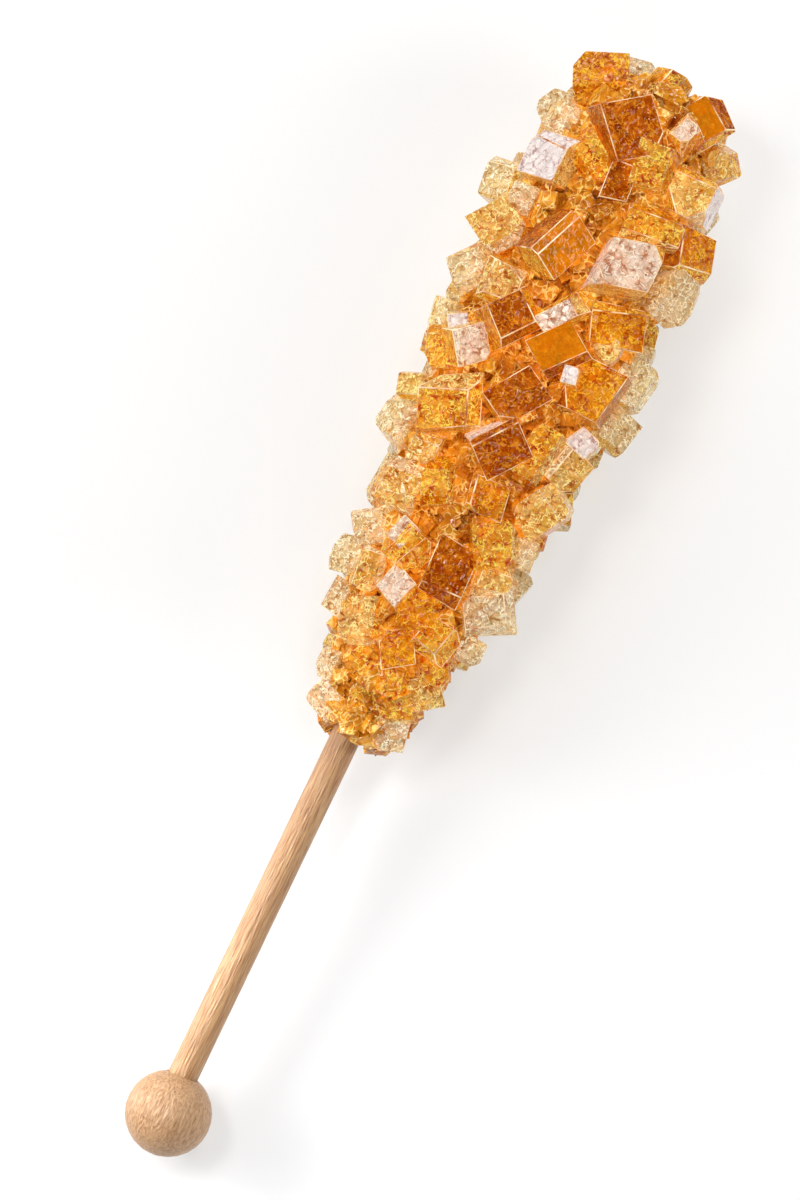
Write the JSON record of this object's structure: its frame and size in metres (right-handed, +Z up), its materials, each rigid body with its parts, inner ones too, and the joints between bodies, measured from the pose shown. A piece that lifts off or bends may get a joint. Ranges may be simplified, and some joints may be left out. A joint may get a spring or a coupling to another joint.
{
  "type": "rock candy stick",
  "caption": "Cluster of chunky amber sugar crystals grown round one end of a thin wooden dowel, with a round wooden bead on the other end.",
  "frame": {"origin": "middle of the footprint, on the table the stick lies on", "axes": "+X along the stick from the bead to the crystals, +Y across it, +Z up"},
  "size_m": [0.1714, 0.0362, 0.0332],
  "materials": {
    "bead_wood": "smooth bare end grain",
    "dowel_wood": "smooth bare wood",
    "sugar": "clear to amber, glossy facets"
  },
  "bodies": {
    "root": {"bead": "bead_wood", "dowel": "dowel_wood", "crystals": "sugar"}
  },
  "joints": []
}
